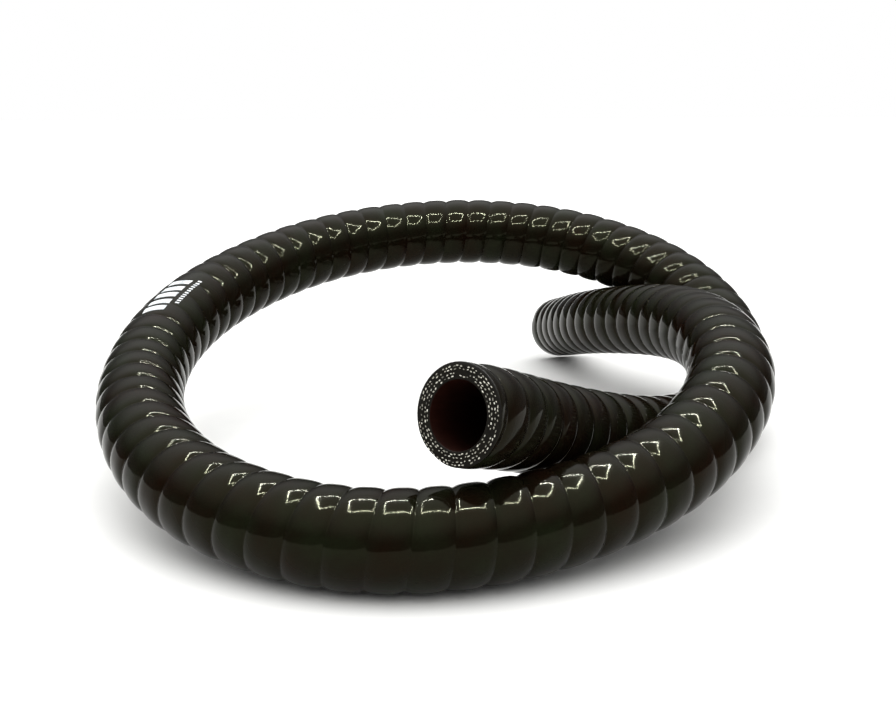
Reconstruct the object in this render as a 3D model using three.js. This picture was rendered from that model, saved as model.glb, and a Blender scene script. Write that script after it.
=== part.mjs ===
// Silicone hose, one metre, laid down in one loose turn and a third.
// One moulded piece: a fabric-braced silicone tube whose outside is pressed
// into a helical rib by the wrap it is cured under. Both ends are cut square.
// Millimetres, +Z up. The hose lies on the plane z = 0.

import * as THREE from 'three';
import { NURBSCurve } from 'three/addons/curves/NURBSCurve.js';
import { ParametricGeometry } from 'three/addons/geometries/ParametricGeometry.js';
import { mergeVertices } from 'three/addons/utils/BufferGeometryUtils.js';

// The section. The outer diameter is measured over the ribs.
const outerDiameter = 27;
const boreDiameter = 18;

// The left-handed helical groove between the ribs: its pitch along the hose,
// how deep it cuts into the wall, how much of each pitch it takes, and how far
// the cut end lies from it.
const ribPitch = 9.3;
const grooveDepth = 0.8;
const grooveShare = 0.4;
const firstGroove = 9.1;

// The faceting: sides around the section, and the step along the bore.
const sectionSides = 14;
const boreStep = 15;

// The route of the hose's middle line, as the control points of a cubic spline,
// from the end under the loop to the end that rests on the loop. The heights
// leave 0.4 mm between the strands where they cross, at this hose thickness.
const routeDrawnFor = 27;
const route = [
  [49, 125.5, 13.5], [51, 117, 15.5], [54.5, 96, 21.5], [62, 58, 31],
  [75, 25, 38.5], [86, -13, 44], [89, -54.5, 38], [70, -89, 25],
  [39, -112.5, 16.5], [0, -129, 13.5], [-37, -127, 13.3], [-74, -104, 17],
  [-95, -71, 25], [-104, -31, 32], [-100, 7, 42], [-84, 43, 50.5],
  [-58, 71.5, 58], [-22, 90, 62.5], [18, 96, 63], [58, 88.5, 58],
  [89, 64.5, 48], [105, 30, 33], [101, -8, 15], [75, -42, 12],
  [45, -68, 21.5], [19, -97, 34.5], [8, -116, 43], [0, -125.5, 46],
];

// A thicker hose lies in a coil that is larger by the same share.
const coilScale = outerDiameter / routeDrawnFor;
const degree = 3;
const points = route.map(([x, y, z]) => new THREE.Vector4(x, y, z, 1).multiplyScalar(coilScale).setW(1));
const spans = points.length - degree;
const knots = [];
for (let i = 0; i < points.length + degree + 1; i += 1) {
  knots.push(THREE.MathUtils.clamp(i - degree, 0, spans) / spans);
}
const middleLine = new NURBSCurve(degree, knots, points);

// The line is walked once in short steps, and a frame is carried along it
// without twist, so that any length along the hose can be looked up.
const walkSteps = 1200;
middleLine.arcLengthDivisions = walkSteps;
const frames = middleLine.computeFrenetFrames(walkSteps, false);
const centres = middleLine.getSpacedPoints(walkSteps);
const hoseLength = middleLine.getLength();

const centre = new THREE.Vector3();
const across = new THREE.Vector3();
const beside = new THREE.Vector3();

function placeOnHose(along, turn, radius, target) {
  const step = THREE.MathUtils.clamp(along / hoseLength, 0, 1) * walkSteps;
  const before = Math.min(Math.floor(step), walkSteps - 1);
  const share = step - before;
  centre.lerpVectors(centres[before], centres[before + 1], share);
  across.lerpVectors(frames.normals[before], frames.normals[before + 1], share).normalize();
  beside.lerpVectors(frames.binormals[before], frames.binormals[before + 1], share).normalize();
  const angle = turn * 2 * Math.PI;
  target.copy(centre);
  target.addScaledVector(across, radius * Math.cos(angle));
  target.addScaledVector(beside, radius * Math.sin(angle));
}

// One rib is a groove bottom and two shoulders; the stretch between the
// shoulders is the rib's back, which stands at the full diameter.
const ribStations = [0, grooveShare / 2, 1 - grooveShare / 2];

function outerRadius(along, turn) {
  const place = (along - firstGroove) / ribPitch + turn;
  const fromGroove = Math.abs(place - Math.round(place));
  const rise = Math.min(fromGroove / (grooveShare / 2), 1);
  return outerDiameter / 2 - grooveDepth * (1 - rise);
}

// The rows of the skin. Outer rows follow the helix from one pitch before the
// hose to one pitch past it, and are held at the cut faces they run over.
const ribsPast = Math.ceil((hoseLength - firstGroove) / ribPitch) + 1;
const outerRows = [];
for (let rib = -1; rib < ribsPast; rib += 1) {
  for (const station of ribStations) {
    outerRows.push(firstGroove + (rib + station) * ribPitch);
  }
}
outerRows.push(firstGroove + ribsPast * ribPitch);
const boreSteps = Math.round(hoseLength / boreStep);
const rowCount = outerRows.length + boreSteps + 1;

// One closed surface: along the outside, over the cut face, back through the
// bore, and over the other cut face to the first row again.
function hoseSkin(turn, progress, target) {
  const row = Math.round(progress * rowCount) % rowCount;
  if (row < outerRows.length) {
    const along = THREE.MathUtils.clamp(outerRows[row] - turn * ribPitch, 0, hoseLength);
    placeOnHose(along, turn, outerRadius(along, turn), target);
  } else {
    const back = (row - outerRows.length) / boreSteps;
    placeOnHose(hoseLength * (1 - back), turn, boreDiameter / 2, target);
  }
}

// Rows held at a cut face fall together; the triangles that they leave without
// area are dropped, and shared corners are merged.
function closedSolid(geometry) {
  geometry.deleteAttribute('normal');
  geometry.deleteAttribute('uv');
  const merged = mergeVertices(geometry, 1e-3);
  const corners = merged.getIndex().array;
  const kept = [];
  for (let i = 0; i < corners.length; i += 3) {
    const [a, b, c] = corners.slice(i, i + 3);
    if (a !== b && b !== c && c !== a) {
      kept.push(a, b, c);
    }
  }
  merged.setIndex(kept);
  return merged;
}

// The line's own middle may miss the origin by rounding, so the finished hose
// is set down on z = 0 and centred over the origin.
const skin = closedSolid(new ParametricGeometry(hoseSkin, sectionSides, rowCount));
skin.computeBoundingBox();
const middle = skin.boundingBox.getCenter(new THREE.Vector3());
skin.translate(-middle.x, -middle.y, -skin.boundingBox.min.z);
skin.computeVertexNormals();

const hose = new THREE.Mesh(skin, new THREE.MeshStandardMaterial({
  color: 0x1b1a17,
  roughness: 0.34,
  metalness: 0,
}));
hose.name = 'hose';

const part = new THREE.Group();
part.name = 'silicone_hose';
part.add(hose);

export default part;
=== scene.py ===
import math
import random

import bpy
import numpy as np
from mathutils import Matrix, Vector


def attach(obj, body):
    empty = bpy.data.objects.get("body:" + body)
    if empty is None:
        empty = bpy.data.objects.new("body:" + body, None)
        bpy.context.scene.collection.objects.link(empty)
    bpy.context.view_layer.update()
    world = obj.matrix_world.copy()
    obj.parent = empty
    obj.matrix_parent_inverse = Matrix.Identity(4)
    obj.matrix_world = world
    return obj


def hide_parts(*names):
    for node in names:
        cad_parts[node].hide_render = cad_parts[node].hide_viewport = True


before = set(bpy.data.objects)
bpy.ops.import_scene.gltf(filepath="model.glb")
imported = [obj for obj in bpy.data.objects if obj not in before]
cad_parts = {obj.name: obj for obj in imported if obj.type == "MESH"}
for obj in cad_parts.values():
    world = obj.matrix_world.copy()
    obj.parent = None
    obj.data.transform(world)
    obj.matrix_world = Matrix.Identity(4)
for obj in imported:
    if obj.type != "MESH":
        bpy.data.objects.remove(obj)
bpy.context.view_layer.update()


# The hose.
# One piece of cured silicone rubber, nearly a metre long, with four plies of polyester fabric in its wall.
# The cord it is wrapped with while it cures presses a left-handed helical rib into its outside. Both ends
# are cut square.

MM = 0.001
FULL_TURN = 2.0 * math.pi
OUTER_RADIUS = 13.5 * MM
BORE_RADIUS = 9.0 * MM
RIB_PITCH = 9.3 * MM
GROOVE_DEPTH = 0.8 * MM
FIRST_GROOVE = 9.1 * MM

# The route of the middle line in about one and a half loose turns, as control points of a cubic spline, and
# the small step that sets the finished coil over the origin.
ROUTE = [
    (0.049, 0.1255, 0.0135), (0.051, 0.117, 0.0155), (0.0545, 0.096, 0.0215), (0.062, 0.058, 0.031),
    (0.075, 0.025, 0.0385), (0.086, -0.013, 0.044), (0.089, -0.0545, 0.038), (0.070, -0.089, 0.025),
    (0.039, -0.1125, 0.0165), (0.000, -0.129, 0.0135), (-0.037, -0.127, 0.0133), (-0.074, -0.104, 0.017),
    (-0.095, -0.071, 0.025), (-0.104, -0.031, 0.032), (-0.100, 0.007, 0.042), (-0.084, 0.043, 0.0505),
    (-0.058, 0.0715, 0.058), (-0.022, 0.090, 0.0625), (0.018, 0.096, 0.063), (0.058, 0.0885, 0.058),
    (0.089, 0.0645, 0.048), (0.105, 0.030, 0.033), (0.101, -0.008, 0.015), (0.075, -0.042, 0.012),
    (0.045, -0.068, 0.0215), (0.019, -0.097, 0.0345), (0.008, -0.116, 0.043), (0.000, -0.1255, 0.046),
]
SET_OVER_ORIGIN = Vector((-0.26 * MM, 5.50 * MM, -0.17 * MM))
POINTS_PER_SPAN = 40


def middle_line():
    """The route as closely spaced points, from the end under the loop."""
    curve = bpy.data.curves.new("hose_route", "CURVE")
    curve.dimensions = "3D"
    curve.resolution_u = POINTS_PER_SPAN
    spline = curve.splines.new("NURBS")
    spline.points.add(len(ROUTE) - 1)
    for point, place in zip(spline.points, ROUTE):
        point.co = (*(Vector(place) + SET_OVER_ORIGIN), 1.0)
    spline.order_u = 4
    spline.use_endpoint_u = True
    route = bpy.data.objects.new("hose_route", curve)
    bpy.context.scene.collection.objects.link(route)
    walked = route.to_mesh()
    points = np.array([v.co for v in walked.vertices])
    route.to_mesh_clear()
    bpy.data.objects.remove(route)
    return points


line = middle_line()
step_lengths = np.linalg.norm(np.diff(line, axis=0), axis=1)
line_lengths = np.concatenate([[0.0], np.cumsum(step_lengths)])
HOSE_LENGTH = float(line_lengths[-1])


def carried_frames(points):
    """Two directions across the hose at each point, carried along without twist."""
    ahead = np.gradient(points, axis=0)
    ahead /= np.linalg.norm(ahead, axis=1, keepdims=True)
    first_axis = np.zeros(3)
    first_axis[np.abs(ahead[0]).argmin()] = 1.0
    square_to_both = np.cross(ahead[0], first_axis)
    square_to_both /= np.linalg.norm(square_to_both)
    across = [np.cross(ahead[0], square_to_both)]
    for before, after in zip(ahead[:-1], ahead[1:]):
        turned = across[-1]
        for square_to in (after, (before + after) * 0.5, after):
            turned = turned - square_to * np.dot(turned, square_to)
        across.append(turned / np.linalg.norm(turned))
    across = np.array(across)
    return across, np.cross(ahead, across)


line_across, line_beside = carried_frames(line)


def read_line(values, along):
    """The values kept for each point of the middle line, at these lengths along it."""
    return np.stack([np.interp(along, line_lengths, values[:, axis]) for axis in range(3)], axis=-1)


def place_on_hose(along, turn, radius):
    """Points at these lengths along the hose, turns around it and radii."""
    angle = turn * FULL_TURN
    across = read_line(line_across, along) * np.cos(angle)[..., None]
    beside = read_line(line_beside, along) * np.sin(angle)[..., None]
    return read_line(line, along) + (across + beside) * radius[..., None]


def point_on_hose(along, turn, radius):
    """One point on the hose, given in the same way."""
    return place_on_hose(np.array([along]), np.array([turn]), np.array([radius]))[0]


def place_when_straight(along, turn, radius):
    """The same points on the hose before it was bent, for patterns that follow it."""
    angle = turn * FULL_TURN
    return np.stack([along, radius * np.cos(angle), radius * np.sin(angle)], axis=-1)


# The print was pressed on hot, which flattened the ribs under it and a little beyond it.
PRINT_ALONG = 0.5010
PRINT_TURN = -0.245
PRINT_LENGTH = 27.0 * MM
PRINT_HEIGHT = 9.0 * MM
PRESSED_MARGIN = 5.0 * MM
PRESSED_HALF_TURN = 0.14
PRESSED_SHARE = 0.86

# The unevenness of wrapping by hand: slow waves along and around the hose, and ribs of unlike depth. The
# sum of the waves is divided by WAVE_SUM, so that it stays near 1.
WAVE_COUNT = 9
WAVE_SUM = 4.0
UNEVEN_SURFACE = 0.035 * MM
UNEVEN_GROOVE = 0.022
GROOVE_WAVES_CLOSER = 1.7
RIB_NUMBERS = np.arange(-5, 125)

uneven = random.Random(19)
waves = []
for _ in range(WAVE_COUNT):
    waves.append({
        "per_metre": uneven.uniform(20.0, 190.0),
        "around": uneven.randint(-3, 3),
        "start": uneven.uniform(0.0, 6.28),
        "share": uneven.uniform(0.4, 1.0),
    })
rib_shares = [uneven.uniform(0.84, 1.1) for _ in RIB_NUMBERS]


def hand_waver(along, turn):
    """The unevenness at these places, from about -1 to 1."""
    total = 0.0
    for wave in waves:
        angle = along * wave["per_metre"] + turn * FULL_TURN * wave["around"] + wave["start"]
        total = total + wave["share"] * np.sin(angle)
    return total / WAVE_SUM


# The back of a rib is a shallow arch, steepest beside the groove. The arch is a power of the distance from
# the rib's middle, which is 0 there and 1 in the groove, and its last part is eased so the groove is round.
ARCH_POWER = 3.1
ROUND_TOP = 0.035
GROOVE_EDGE = 0.94
GROOVE_EASE = 1.5
BELOW_OUTER_RADIUS = 0.04 * MM


def outer_radius(along, turn):
    """The hose's radius at these places on its outside."""
    place = (along - FIRST_GROOVE) / RIB_PITCH + turn
    place = place + UNEVEN_GROOVE * hand_waver(along * GROOVE_WAVES_CLOSER, turn)
    from_middle = np.abs((place - np.floor(place)) * 2.0 - 1.0)
    arch = (from_middle ** 2 + ROUND_TOP ** 2) ** (ARCH_POWER / 2.0)
    in_groove = np.maximum(from_middle - GROOVE_EDGE, 0.0)
    arch = arch - GROOVE_EASE * in_groove ** 2
    along_print = (along - PRINT_ALONG) / (0.5 * PRINT_LENGTH + PRESSED_MARGIN)
    around_print = (np.mod(turn - PRINT_TURN + 0.5, 1.0) - 0.5) / PRESSED_HALF_TURN
    left_by_print = 1.0 - PRESSED_SHARE * np.exp(-along_print ** 4 - around_print ** 4)
    depth = GROOVE_DEPTH * np.interp(place, RIB_NUMBERS, rib_shares) * left_by_print
    return OUTER_RADIUS - BELOW_OUTER_RADIUS - depth * arch + UNEVEN_SURFACE * hand_waver(along, turn)


# The surface is made of rings of corners. On the outside they follow the helix, closest beside the groove,
# so each ring ends one rib before its start. RIB_STATIONS are shares of a rib.
SIDES = 52
RIB_STATIONS = [0.0, 0.022, 0.055, 0.11, 0.2, 0.32, 0.44, 0.56, 0.68, 0.8, 0.89, 0.945, 0.978]
EDGE = 0.25 * MM
BORE_STEP = 6.0 * MM
BORE_END = 0.2 * MM
COVER, CUT_FACE, BORE = range(3)

# The cut face has rings at these shares of the way from the bore to its margin. The blade leaves it a
# little wavy and rough.
CUT_RING_SHARES = (0.82, 0.66, 0.5, 0.34, 0.18)
CUT_FACE_MARGIN = 0.3 * MM
CUT_WAVE = 0.08 * MM
CUT_ROUGHNESS = 0.04 * MM

# How the edges of a cut face are broken, as steps across the hose and steps inwards along it.
OUTER_EDGE = ((0.06 * MM, 0.10 * MM), (0.2 * MM, 0.0))
BORE_EDGE = ((0.12 * MM, 0.0), (0.03 * MM, 0.05 * MM))

# Corners and edges that are merged where the rings run together at the ends.
SAME_CORNER = 0.002 * MM
SAME_EDGE = 0.0005 * MM

turns = np.arange(SIDES) / SIDES


def outside_rings():
    last_rib = math.ceil((HOSE_LENGTH - FIRST_GROOVE) / RIB_PITCH) + 1
    starts = [rib + station for rib in range(-1, last_rib) for station in RIB_STATIONS]
    starts.append(last_rib)
    rings = []
    for start in starts:
        along = FIRST_GROOVE + start * RIB_PITCH - turns * RIB_PITCH
        along = np.clip(along, EDGE, HOSE_LENGTH - EDGE)
        rings.append((COVER, along, outer_radius(along, turns)))
    return rings


def cut_face_rings(at, inward, bore_first, blade):
    """Rings of one cut face: the broken outer edge, the face with the blade's marks, and the bore's edge."""
    outer_edge = outer_radius(np.full(SIDES, at + inward * EDGE), turns)
    inner_radius = BORE_RADIUS + BORE_EDGE[0][0]
    face_height = OUTER_RADIUS - GROOVE_DEPTH - CUT_FACE_MARGIN - inner_radius
    shapes = [(outer_edge - step, depth) for step, depth in OUTER_EDGE]
    for share in CUT_RING_SHARES:
        radius = inner_radius + face_height * share
        shapes.append((np.full(SIDES, radius), blade.uniform(0.0, CUT_WAVE)))
    shapes += [(np.full(SIDES, BORE_RADIUS + step), depth) for step, depth in BORE_EDGE]
    if bore_first:
        shapes.reverse()
    rings = []
    for radius, depth in shapes:
        rough = np.array([blade.uniform(0.0, CUT_ROUGHNESS) for _ in range(SIDES)])
        rings.append((CUT_FACE, at + inward * (depth + rough), radius))
    return rings


def bore_rings():
    steps = round(HOSE_LENGTH / BORE_STEP)
    lengths = np.linspace(HOSE_LENGTH - BORE_END, BORE_END, steps + 1)
    return [(BORE, np.full(SIDES, length), np.full(SIDES, BORE_RADIUS)) for length in lengths]


def deselect_all():
    for other in bpy.context.selected_objects:
        other.select_set(False)


def select_only(piece):
    deselect_all()
    piece.select_set(True)
    bpy.context.view_layer.objects.active = piece


def new_piece(name, corners, faces):
    mesh = bpy.data.meshes.new(name)
    mesh.from_pydata([tuple(c) for c in corners], [], faces)
    piece = bpy.data.objects.new(name, mesh)
    bpy.context.scene.collection.objects.link(piece)
    return piece


def face_outwards(piece):
    select_only(piece)
    bpy.ops.object.mode_set(mode="EDIT")
    bpy.ops.mesh.select_all(action="SELECT")
    bpy.ops.mesh.normals_make_consistent(inside=False)
    bpy.ops.object.mode_set(mode="OBJECT")


def make_hose():
    """Outside, cut face, bore and cut face in one closed surface."""
    blade = random.Random(7)
    rings = outside_rings()
    outside_count = len(rings)
    rings += cut_face_rings(HOSE_LENGTH, -1.0, False, blade)
    rings += bore_rings()
    rings += cut_face_rings(0.0, 1.0, True, blade)
    finish = [ring[0] for ring in rings]
    along = np.array([ring[1] for ring in rings])
    radius = np.array([ring[2] for ring in rings])
    turn = np.broadcast_to(turns, along.shape)

    def past_seam(row):
        """The row met after a full turn, which is one rib back on the outside."""
        if row < outside_count:
            return max(row - len(RIB_STATIONS), 0)
        return row

    faces = []
    face_finishes = []
    for row in range(len(rings)):
        after = (row + 1) % len(rings)
        for side in range(SIDES):
            beyond = (side + 1) % SIDES
            row_beyond = past_seam(row) if beyond == 0 else row
            after_beyond = past_seam(after) if beyond == 0 else after
            faces.append((
                row * SIDES + side,
                row_beyond * SIDES + beyond,
                after_beyond * SIDES + beyond,
                after * SIDES + side,
            ))
            face_finishes.append(max(finish[row], finish[after]))

    hose = new_piece("hose_ribbed", place_on_hose(along, turn, radius).reshape(-1, 3), faces)
    straight = hose.data.attributes.new("straight", "FLOAT_VECTOR", "POINT")
    straight.data.foreach_set("vector", place_when_straight(along, turn, radius).reshape(-1))
    hose.data.polygons.foreach_set("material_index", face_finishes)
    select_only(hose)
    bpy.ops.object.mode_set(mode="EDIT")
    bpy.ops.mesh.select_all(action="SELECT")
    bpy.ops.mesh.remove_doubles(threshold=SAME_CORNER)
    bpy.ops.mesh.dissolve_degenerate(threshold=SAME_EDGE)
    bpy.ops.object.mode_set(mode="OBJECT")
    face_outwards(hose)
    bpy.ops.object.shade_smooth_by_angle(angle=math.radians(50))
    return hose


def linear(hex_colour):
    """An sRGB hex colour as the linear colour that a shader takes."""
    channels = [int(hex_colour[k:k + 2], 16) / 255.0 for k in (1, 3, 5)]
    return tuple(c / 12.92 if c <= 0.04045 else ((c + 0.055) / 1.055) ** 2.4 for c in channels) + (1.0,)


def new_material(name):
    material = bpy.data.materials.new(name)
    material.use_nodes = True
    material.node_tree.nodes.clear()
    return material


def add(tree, kind, inputs=None, **settings):
    """Adds a node with its settings. An input is a value, or another node's output that is linked."""
    node = tree.nodes.new(kind)
    for name, value in settings.items():
        setattr(node, name, value)
    for name, value in (inputs or {}).items():
        if isinstance(value, bpy.types.NodeSocket):
            tree.links.new(value, node.inputs[name])
        else:
            node.inputs[name].default_value = value
    return node


def set_stops(ramp, stops):
    """Gives a colour ramp its stops, each a place from 0 to 1 and an sRGB hex colour."""
    elements = ramp.color_ramp.elements
    while len(elements) < len(stops):
        elements.new(0.5)
    for element, (position, hex_colour) in zip(elements, stops):
        element.position = position
        element.color = linear(hex_colour)


SILICONE_IOR = 1.42


# Black silicone rubber, cured against a smooth wrapping film. The film leaves it glossy, with a faint swell
# from the wrap, and the light on it has a warm olive cast. Patterns read the place on the straight hose.
def silicone_cover():
    cloud_width = 14.0 * MM
    swell_width = 5.0 * MM
    dust_width = 0.9 * MM
    material = new_material("black_silicone_film_cured")
    tree = material.node_tree
    place = add(tree, "ShaderNodeAttribute", attribute_name="straight")
    cloudy = add(tree, "ShaderNodeTexNoise", {
        "Vector": place.outputs["Vector"], "Scale": 1.0 / cloud_width, "Detail": 4.0, "Roughness": 0.55})
    tint = add(tree, "ShaderNodeValToRGB", {"Fac": cloudy.outputs["Fac"]})
    set_stops(tint, [(0.3, "#120804"), (0.5, "#100d07"), (0.7, "#12150b")])
    dust = add(tree, "ShaderNodeTexNoise", {
        "Vector": place.outputs["Vector"], "Scale": 1.0 / dust_width, "Detail": 3.0, "Roughness": 0.7})
    gloss = add(tree, "ShaderNodeMapRange", {
        "Value": cloudy.outputs["Fac"], "From Min": 0.3, "From Max": 0.7, "To Min": 0.05, "To Max": 0.09})
    gloss_under_dust = add(tree, "ShaderNodeMath", {
        0: dust.outputs["Fac"], 1: 0.04, 2: gloss.outputs["Result"]}, operation="MULTIPLY_ADD")
    swell = add(tree, "ShaderNodeTexNoise", {
        "Vector": place.outputs["Vector"], "Scale": 1.0 / swell_width, "Detail": 2.0, "Roughness": 0.5})
    swell_bump = add(tree, "ShaderNodeBump", {
        "Height": swell.outputs["Fac"], "Strength": 0.35, "Distance": 0.12 * MM})
    skin_bump = add(tree, "ShaderNodeBump", {
        "Height": dust.outputs["Fac"], "Strength": 0.12, "Distance": 0.02 * MM,
        "Normal": swell_bump.outputs["Normal"]})
    shader = add(tree, "ShaderNodeBsdfPrincipled", {
        "Base Color": tint.outputs["Color"], "Roughness": gloss_under_dust.outputs["Value"],
        "IOR": SILICONE_IOR, "Specular IOR Level": 0.09, "Specular Tint": (0.97, 1.0, 0.66, 1.0),
        "Normal": skin_bump.outputs["Normal"]})
    add(tree, "ShaderNodeOutputMaterial", {"Surface": shader.outputs["BSDF"]})
    return material


# The cut face: rubber sliced with a blade, so it is duller and a little greyer than the cover, with fine
# drag marks.
def silicone_cut_face():
    drag_width = 0.7 * MM
    material = new_material("black_silicone_knife_cut")
    tree = material.node_tree
    place = add(tree, "ShaderNodeAttribute", attribute_name="straight")
    drag = add(tree, "ShaderNodeTexNoise", {
        "Vector": place.outputs["Vector"], "Scale": 1.0 / drag_width, "Detail": 5.0, "Roughness": 0.65})
    tint = add(tree, "ShaderNodeValToRGB", {"Fac": drag.outputs["Fac"]})
    set_stops(tint, [(0.35, "#0a0704"), (0.6, "#110f09"), (0.8, "#1f2014")])
    bump = add(tree, "ShaderNodeBump", {
        "Height": drag.outputs["Fac"], "Strength": 0.6, "Distance": 0.1 * MM})
    shader = add(tree, "ShaderNodeBsdfPrincipled", {
        "Base Color": tint.outputs["Color"], "Roughness": 0.5, "IOR": SILICONE_IOR,
        "Specular IOR Level": 0.12, "Normal": bump.outputs["Normal"]})
    add(tree, "ShaderNodeOutputMaterial", {"Surface": shader.outputs["BSDF"]})
    return material


# The bore: rubber moulded on a steel mandrel, satin and very dark, with fine lengthwise marks from drawing
# the mandrel out. The noise is stretched along the hose to make them. Its colour is partly painted light: a
# lighter, redder black than the cover, standing in for the little light that reaches inside.
def silicone_bore():
    mark_width = 0.8 * MM
    mark_stretch = 0.06
    material = new_material("black_silicone_mandrel_moulded")
    tree = material.node_tree
    place = add(tree, "ShaderNodeAttribute", attribute_name="straight")
    stretched = add(tree, "ShaderNodeMapping", {
        "Vector": place.outputs["Vector"], "Scale": (mark_stretch, 1.0, 1.0)})
    marks = add(tree, "ShaderNodeTexNoise", {
        "Vector": stretched.outputs["Vector"], "Scale": 1.0 / mark_width, "Detail": 3.0, "Roughness": 0.6})
    tint = add(tree, "ShaderNodeValToRGB", {"Fac": marks.outputs["Fac"]})
    # Painted light: these stops are lighter and redder than the cover's, standing in for the dim light
    # inside the bore.
    set_stops(tint, [(0.3, "#1c0a06"), (0.7, "#240f0a")])
    bump = add(tree, "ShaderNodeBump", {
        "Height": marks.outputs["Fac"], "Strength": 0.3, "Distance": 0.05 * MM})
    shader = add(tree, "ShaderNodeBsdfPrincipled", {
        "Base Color": tint.outputs["Color"], "Roughness": 0.42, "IOR": SILICONE_IOR,
        "Specular IOR Level": 0.12, "Normal": bump.outputs["Normal"]})
    add(tree, "ShaderNodeOutputMaterial", {"Surface": shader.outputs["BSDF"]})
    return material


hose = make_hose()
hose.data.materials.append(silicone_cover())
hose.data.materials.append(silicone_cut_face())
hose.data.materials.append(silicone_bore())
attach(hose, "root")
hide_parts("hose")


# The thread ends.
# Four plies of polyester fabric lie in the wall. Where the hose is cut, the threads of each ply show end-on
# as a double row of short white dashes.

PLY_RADII = [9.75 * MM, 10.55 * MM, 11.6 * MM, 12.35 * MM]
THREAD_WIDTH = 0.34 * MM
THREAD_LENGTH = 0.78 * MM
THREAD_THICKNESS = 0.22 * MM
THREAD_SPACING = 1.22 * MM
THREAD_STAGGER = 0.07 * MM

# How single threads stray: around the hose by a share of their spacing, towards or away from the bore, in
# length and width by these shares, and in their lean, in radians.
STRAY_AROUND = 0.2
STRAY_ACROSS = 0.05 * MM
LENGTH_SHARES = (0.55, 1.2)
WIDTH_SHARES = (0.7, 1.15)
LEAN = 0.3

# The share of threads that are hidden under smeared rubber. It swells and sinks three times around the cut.
HIDDEN_LEAST = 0.02
HIDDEN_MORE = 0.14
HIDDEN_PATCHES = 3.0


def thread_end_shape():
    """One cut thread end, a low domed sliver of unit size, as corners and faces.

    The faces are sorted, because the primitive lists them in another order in each run.
    """
    deselect_all()
    bpy.ops.mesh.primitive_uv_sphere_add(segments=8, ring_count=5, radius=0.5)
    dome = bpy.context.object
    corners = np.array([v.co for v in dome.data.vertices])
    faces = sorted(tuple(p.vertices) for p in dome.data.polygons)
    bpy.data.objects.remove(dome)
    return corners, faces


def thread_place(at, turn, radius, lean):
    """A thread's middle on the cut, and the directions of its length, width and thickness."""
    a_little_further = 0.001
    middle = point_on_hose(at, turn, radius)
    tangent = Vector(point_on_hose(at, turn + a_little_further, radius) - middle).normalized()
    radial = Vector(middle - point_on_hose(at, turn, radius - MM)).normalized()
    lengthwise = tangent * math.cos(lean) + radial * math.sin(lean)
    widthwise = radial * math.cos(lean) - tangent * math.sin(lean)
    return middle, lengthwise, widthwise, lengthwise.cross(widthwise)


def make_thread_ends(name, at, seed):
    shape, shape_faces = thread_end_shape()
    chance = random.Random(seed)
    corners = []
    faces = []
    for ply in PLY_RADII:
        count = int(FULL_TURN * ply / THREAD_SPACING)
        patch_start = chance.random()
        for row in (0, 1):
            for k in range(row, count, 2):
                turn = (k + chance.uniform(-STRAY_AROUND, STRAY_AROUND)) / count
                patchy = 0.5 + 0.5 * math.sin(FULL_TURN * (HIDDEN_PATCHES * turn + patch_start))
                if chance.random() < HIDDEN_LEAST + HIDDEN_MORE * patchy:
                    continue
                radius = ply + (2 * row - 1) * THREAD_STAGGER
                radius += chance.uniform(-STRAY_ACROSS, STRAY_ACROSS)
                length = THREAD_LENGTH * chance.uniform(*LENGTH_SHARES)
                width = THREAD_WIDTH * chance.uniform(*WIDTH_SHARES)
                lean = chance.uniform(-LEAN, LEAN)
                middle, lengthwise, widthwise, outwards = thread_place(at, turn, radius, lean)
                axes = np.array([lengthwise * length, widthwise * width, outwards * THREAD_THICKNESS])
                first = len(corners) * len(shape)
                faces.extend(tuple(first + corner for corner in face) for face in shape_faces)
                corners.append(shape @ axes + middle)
    threads = new_piece(name, np.concatenate(corners), faces)
    face_outwards(threads)
    bpy.ops.object.shade_smooth()
    return threads


# White polyester yarn cut with a blade: matte, fuzzy and slightly grey where rubber has smeared over it.
def cut_yarn():
    smear_width = 1.6 * MM
    fibre_width = 0.12 * MM
    material = new_material("white_polyester_yarn_cut")
    tree = material.node_tree
    place = add(tree, "ShaderNodeTexCoord")
    smear = add(tree, "ShaderNodeTexNoise", {
        "Vector": place.outputs["Object"], "Scale": 1.0 / smear_width, "Detail": 3.0, "Roughness": 0.6})
    tint = add(tree, "ShaderNodeValToRGB", {"Fac": smear.outputs["Fac"]})
    set_stops(tint, [(0.36, "#4b4a40"), (0.5, "#a9a698"), (0.66, "#e8e6da")])
    fibres = add(tree, "ShaderNodeTexNoise", {
        "Vector": place.outputs["Object"], "Scale": 1.0 / fibre_width, "Detail": 2.0})
    bump = add(tree, "ShaderNodeBump", {
        "Height": fibres.outputs["Fac"], "Strength": 0.5, "Distance": 0.04 * MM})
    shader = add(tree, "ShaderNodeBsdfPrincipled", {
        "Base Color": tint.outputs["Color"], "Roughness": 0.75, "Normal": bump.outputs["Normal"]})
    add(tree, "ShaderNodeOutputMaterial", {"Surface": shader.outputs["BSDF"]})
    return material


yarn = cut_yarn()
threads_under_loop = make_thread_ends("thread_ends_under_loop", 0.0, 11)
threads_on_loop = make_thread_ends("thread_ends_on_loop", HOSE_LENGTH, 5)
for threads in (threads_under_loop, threads_on_loop):
    threads.data.materials.append(yarn)
    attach(threads, "root")


# The printed mark.
# A plain white mark printed on the flattened ribs: a row of slanted bars with a row of fine dashes beside
# it. It is a film of ink a tenth of a millimetre thick.

FILM = 0.1 * MM
SLANT = 0.32
BARS = 5
BAR_WIDTHS = (0.66, 0.60)
BARS_FROM = -0.34 * PRINT_HEIGHT
BARS_TO = 0.44 * PRINT_HEIGHT
DASHES = 12
DASH_WIDTH = 0.5
DASHES_FROM = 0.62 * PRINT_HEIGHT
DASHES_TO = 0.76 * PRINT_HEIGHT
DASH_ROW_START = -0.275 * PRINT_LENGTH
DASH_ROW_LENGTH = 0.76 * PRINT_LENGTH
STEPS_LENGTHWISE = 5
STEPS_AROUND = 9


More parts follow.
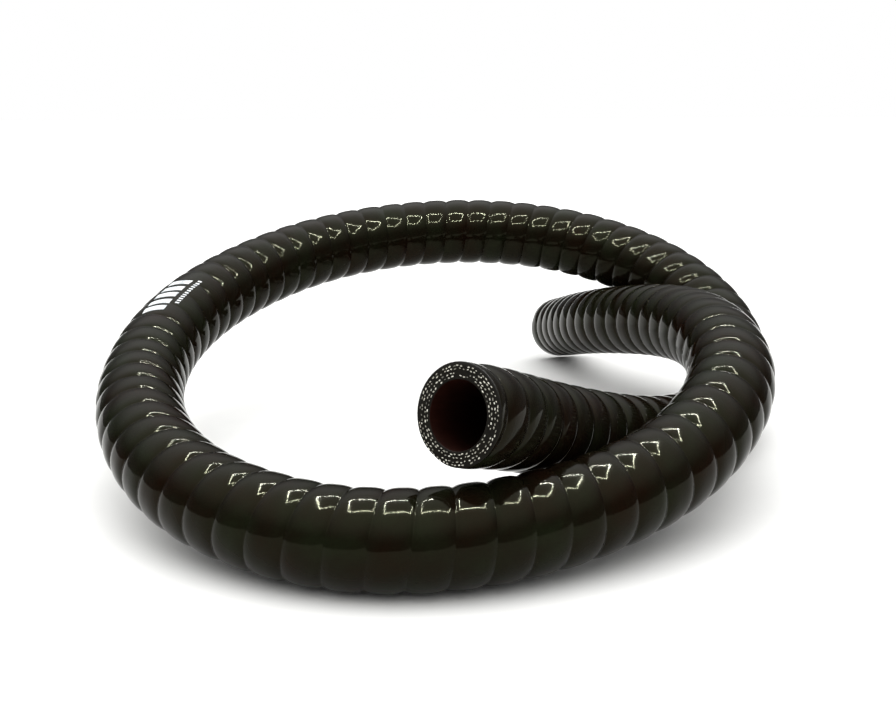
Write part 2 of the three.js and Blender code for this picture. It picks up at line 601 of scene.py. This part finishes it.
def bar_on_hose(start, width, low, high):
    """Corners of one slanted bar: its start and width along the hose, and its two ends around it."""
    corners = []
    for i in range(STEPS_LENGTHWISE):
        for j in range(STEPS_AROUND):
            up = low + (high - low) * j / (STEPS_AROUND - 1)
            along = PRINT_ALONG + start + width * i / (STEPS_LENGTHWISE - 1) + SLANT * up
            turn = PRINT_TURN + up / (FULL_TURN * OUTER_RADIUS)
            corners.append(point_on_hose(along, turn, float(outer_radius(along, turn)) + FILM / 2.0))
    return corners


def make_printed_mark():
    corners = []
    bar_pitch = PRINT_LENGTH / BARS
    for k in range(BARS):
        start = k * bar_pitch - PRINT_LENGTH / 2.0
        corners += bar_on_hose(start, bar_pitch * BAR_WIDTHS[k % 2], BARS_FROM, BARS_TO)
    dash_pitch = DASH_ROW_LENGTH / DASHES
    for k in range(DASHES):
        start = DASH_ROW_START + k * dash_pitch
        corners += bar_on_hose(start, dash_pitch * DASH_WIDTH, DASHES_FROM, DASHES_TO)
    faces = []
    for bar in range(BARS + DASHES):
        for i in range(STEPS_LENGTHWISE - 1):
            for j in range(STEPS_AROUND - 1):
                a = (bar * STEPS_LENGTHWISE + i) * STEPS_AROUND + j
                faces.append((a, a + 1, a + STEPS_AROUND + 1, a + STEPS_AROUND))
    mark = new_piece("printed_mark", corners, faces)
    film = mark.modifiers.new("film", "SOLIDIFY")
    film.thickness = FILM
    film.offset = 0.0
    select_only(mark)
    bpy.ops.object.modifier_apply(modifier="film")
    face_outwards(mark)
    bpy.ops.object.shade_smooth_by_angle(angle=math.radians(40))
    return mark


# White screen ink on rubber: flat, slightly cold white, thinner and greyer in small patches.
def screen_ink():
    worn_width = 2.4 * MM
    material = new_material("white_screen_ink")
    tree = material.node_tree
    place = add(tree, "ShaderNodeTexCoord")
    worn = add(tree, "ShaderNodeTexNoise", {
        "Vector": place.outputs["Object"], "Scale": 1.0 / worn_width, "Detail": 4.0, "Roughness": 0.65})
    tint = add(tree, "ShaderNodeValToRGB", {"Fac": worn.outputs["Fac"]})
    set_stops(tint, [(0.3, "#8f969b"), (0.46, "#d5dadd"), (0.7, "#eef1f2")])
    bump = add(tree, "ShaderNodeBump", {
        "Height": worn.outputs["Fac"], "Strength": 0.25, "Distance": 0.03 * MM})
    shader = add(tree, "ShaderNodeBsdfPrincipled", {
        "Base Color": tint.outputs["Color"], "Roughness": 0.45, "Normal": bump.outputs["Normal"]})
    add(tree, "ShaderNodeOutputMaterial", {"Surface": shader.outputs["BSDF"]})
    return material


printed_mark = make_printed_mark()
printed_mark.data.materials.append(screen_ink())
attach(printed_mark, "root")


# The camera.
# It stands where the photograph was taken from, and looks at the hose from the same angle.

PHOTO_WIDTH = 896
FOCAL_PIXELS = 1150.0
SENSOR_WIDTH = 36.0
ELEVATION = math.radians(13.97)
ROLL = math.radians(0.21)
CAMERA_PLACE = Vector((-2.32 * MM, -398.38 * MM, 127.88 * MM)) + SET_OVER_ORIGIN

camera_data = bpy.data.cameras.new("camera")
camera_data.sensor_width = SENSOR_WIDTH
camera_data.lens = FOCAL_PIXELS / PHOTO_WIDTH * SENSOR_WIDTH
camera_data.clip_start = 10.0 * MM
camera = bpy.data.objects.new("camera", camera_data)
bpy.context.scene.collection.objects.link(camera)
forward = Vector((0.0, math.cos(ELEVATION), -math.sin(ELEVATION)))
level_right = Vector((1.0, 0.0, 0.0))
level_down = forward.cross(level_right)
right = level_right * math.cos(ROLL) + level_down * math.sin(ROLL)
down = level_down * math.cos(ROLL) - level_right * math.sin(ROLL)
camera_turn = Matrix((right, -down, -forward)).transposed().to_4x4()
camera.matrix_world = Matrix.Translation(CAMERA_PLACE) @ camera_turn
bpy.context.scene.camera = camera
bpy.context.scene.view_settings.view_transform = "Standard"


# The floor.
# A flat sheet of white card with no gloss, a hair under the hose.

FLOOR_SIZE = 6.0
FLOOR_GAP = 0.2 * MM

deselect_all()
bpy.ops.mesh.primitive_plane_add(size=FLOOR_SIZE, location=(0.0, 0.0, -FLOOR_GAP))
bpy.ops.object.transform_apply(location=True, rotation=True, scale=True)
floor = bpy.context.object
floor.name = "floor"
card = new_material("white_card")
card_place = add(card.node_tree, "ShaderNodeTexCoord")
card_grain = add(card.node_tree, "ShaderNodeTexNoise", {
    "Vector": card_place.outputs["Object"], "Scale": 1.0 / (25.0 * MM), "Detail": 3.0})
card_tint = add(card.node_tree, "ShaderNodeValToRGB", {"Fac": card_grain.outputs["Fac"]})
set_stops(card_tint, [(0.0, "#f4f4f2"), (1.0, "#fbfbf9")])
card_shader = add(card.node_tree, "ShaderNodeBsdfPrincipled", {
    "Base Color": card_tint.outputs["Color"], "Roughness": 0.9, "Specular IOR Level": 0.0})
add(card.node_tree, "ShaderNodeOutputMaterial", {"Surface": card_shader.outputs["BSDF"]})
floor.data.materials.append(card)


# The room.
# Plain white where the camera sees it. For everything else it is a bright ceiling that falls off to dim
# walls, which keeps the hose's flanks dark.

CEILING = 2.8
WALLS = 0.22
CEILING_STARTS = 0.25
WHITE = (1.0, 1.0, 1.0, 1.0)

world = bpy.data.worlds.new("white_ceiling_dim_walls")
bpy.context.scene.world = world
world.use_nodes = True
room = world.node_tree
direction = add(room, "ShaderNodeTexCoord")
height = add(room, "ShaderNodeSeparateXYZ", {"Vector": direction.outputs["Generated"]})
falloff = add(room, "ShaderNodeMapRange", {
    "Value": height.outputs["Z"], "From Min": CEILING_STARTS, "From Max": 1.0,
    "To Min": WALLS, "To Max": CEILING}, interpolation_type="SMOOTHSTEP")
rays = add(room, "ShaderNodeLightPath")
seen = add(room, "ShaderNodeMix", {
    "Factor": rays.outputs["Is Camera Ray"], "A": falloff.outputs["Result"], "B": 1.0}, data_type="FLOAT")
background = room.nodes["Background"]
background.inputs["Color"].default_value = WHITE
room.links.new(seen.outputs["Result"], background.inputs["Strength"])


# The lamps.
# A frame of four narrow strips of small lamps hangs over the hose. Its reflection is the bright outline on
# each rib. The strips light nothing that is matt, so the floor stays even.

LAMP_HEIGHT = 0.33
LAMP_CENTRE = (0.010, -0.062)
LAMP_SPAN = (0.25, 0.19)
STRIP = 0.002
STRIP_GLOW = 1650.0
LAMPS_PER_METRE = 46


def add_lamp_strip(name, x, y, width, height):
    """One strip that shines down, in even steps of lit lamp and dark gap."""
    strip = bpy.data.lights.new(name, "AREA")
    strip.shape = "RECTANGLE"
    strip.size = width
    strip.size_y = height
    strip.energy = STRIP_GLOW * math.pi * width * height
    strip.use_nodes = True
    tree = strip.node_tree
    half_step = 0.5 / round(LAMPS_PER_METRE * max(width, height))
    place = add(tree, "ShaderNodeNewGeometry")
    axes = add(tree, "ShaderNodeSeparateXYZ", {"Vector": place.outputs["Parametric"]})
    lengthwise = axes.outputs["X" if width > height else "Y"]
    steps = add(tree, "ShaderNodeMath", {0: lengthwise, 1: half_step}, operation="PINGPONG")
    lit = add(tree, "ShaderNodeMath", {
        0: steps.outputs["Value"], 1: half_step / 2.0}, operation="GREATER_THAN")
    tree.links.new(lit.outputs["Value"], tree.nodes["Emission"].inputs["Strength"])
    lamp = bpy.data.objects.new(name, strip)
    lamp.location = (x, y, LAMP_HEIGHT)
    lamp.visible_diffuse = False
    bpy.context.scene.collection.objects.link(lamp)


for name, side, width, height in (
    ("lamp_strip_front", (0.0, -0.5), LAMP_SPAN[0], STRIP),
    ("lamp_strip_back", (0.0, 0.5), LAMP_SPAN[0], STRIP),
    ("lamp_strip_left", (-0.5, 0.0), STRIP, LAMP_SPAN[1]),
    ("lamp_strip_right", (0.5, 0.0), STRIP, LAMP_SPAN[1]),
):
    x = LAMP_CENTRE[0] + side[0] * LAMP_SPAN[0]
    y = LAMP_CENTRE[1] + side[1] * LAMP_SPAN[1]
    add_lamp_strip(name, x, y, width, height)


# The hose as a cord.
# Its middle line, kept at every eighth point and at its end. The hose is stiff and lies coiled.

KEPT_POINT_STEP = 8

centreline = [tuple(float(c) for c in point) for point in line[::KEPT_POINT_STEP]]
centreline.append(tuple(float(c) for c in line[-1]))
